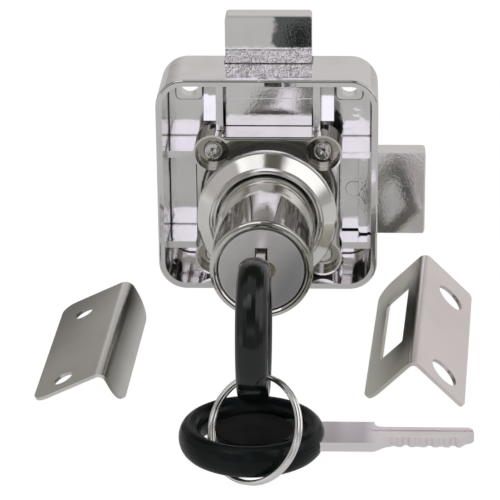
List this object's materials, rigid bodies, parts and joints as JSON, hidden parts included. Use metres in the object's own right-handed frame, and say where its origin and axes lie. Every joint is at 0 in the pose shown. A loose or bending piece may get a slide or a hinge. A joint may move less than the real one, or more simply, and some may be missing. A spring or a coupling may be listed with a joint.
{
  "type": "cabinet lock",
  "caption": "Square surface-mounted cabinet cam lock with bolts upward and sideways, round barrel with rosette, keys on a split ring, and sheet-metal strikes.",
  "frame": {"origin": "on the barrel's axis, in the plane of the case's rim, which lies on the door", "axes": "+Y along the barrel's axis into the case, -Y towards the key, +Z towards the top bolt, +X towards the side bolt"},
  "size_m": [0.0941, 0.1136, 0.0667],
  "materials": {
    "zinc": "bright nickel plating on die-cast zinc",
    "nickel": "bright nickel",
    "satin_nickel": "satin nickel",
    "steel": "bright",
    "spring_steel": "plain",
    "brass": "plain",
    "bow": "glossy black"
  },
  "bodies": {
    "lock": {"case": "zinc", "cylinder_housing": "zinc", "housing_rivets": "zinc", "angle_strike": "satin_nickel", "slotted_strike": "satin_nickel"},
    "rosette": {"rosette": "nickel"},
    "plug": {"plug": "zinc", "wafer_1": "brass", "wafer_2": "brass", "wafer_3": "brass", "wafer_4": "brass", "wafer_5": "brass", "wafer_6": "brass", "wafer_springs": "spring_steel", "cam_plate": "steel", "top_drive_pin": "steel", "side_drive_pin": "steel", "cam_screw": "steel", "lock_washer": "spring_steel"},
    "top_bolt": {"top_bolt": "zinc"},
    "side_bolt": {"side_bolt": "zinc"},
    "key_1": {"key_1_blade": "nickel", "key_1_bow": "bow"},
    "ring": {"split_ring": "steel"},
    "key_2": {"key_2_blade": "nickel", "key_2_bow": "bow"}
  },
  "joints": [
    {"name": "plug_turn", "type": "hinge", "parent": "lock", "child": "plug", "pos_m": [0, 0, 0], "axis": [0, 1, 0], "range_deg": [0, 90]},
    {"name": "top_bolt_slide", "type": "slide", "parent": "lock", "child": "top_bolt", "axis": [0, 0, -1], "range_m": [0, 0.0105]},
    {"name": "side_bolt_slide", "type": "slide", "parent": "lock", "child": "side_bolt", "axis": [-1, 0, 0], "range_m": [0, 0.0105]},
    {"name": "rosette_slide", "type": "slide", "parent": "lock", "child": "rosette", "axis": [0, -1, 0], "range_m": [0, 0.028]},
    {"name": "key_withdraw", "type": "slide", "parent": "plug", "child": "key_1", "axis": [0, -1, 0], "range_m": [-0.011, 0.02]},
    {"name": "ring_swing", "type": "hinge", "parent": "key_1", "child": "ring", "pos_m": [0, -0.08138, -0.00769], "axis": [0, 0.7539, -0.657], "range_deg": [-10, 10]},
    {"name": "key_2_swing", "type": "hinge", "parent": "ring", "child": "key_2", "pos_m": [0.00041, -0.0847, -0.0144], "axis": [0.5495, 0.7025, -0.4524], "range_deg": [-12, 12]}
  ],
  "couplings": [
    {"joint": "top_bolt_slide", "follows": "plug_turn", "m_per_rad": 0.0066845},
    {"joint": "side_bolt_slide", "follows": "plug_turn", "m_per_rad": 0.0066845}
  ]
}
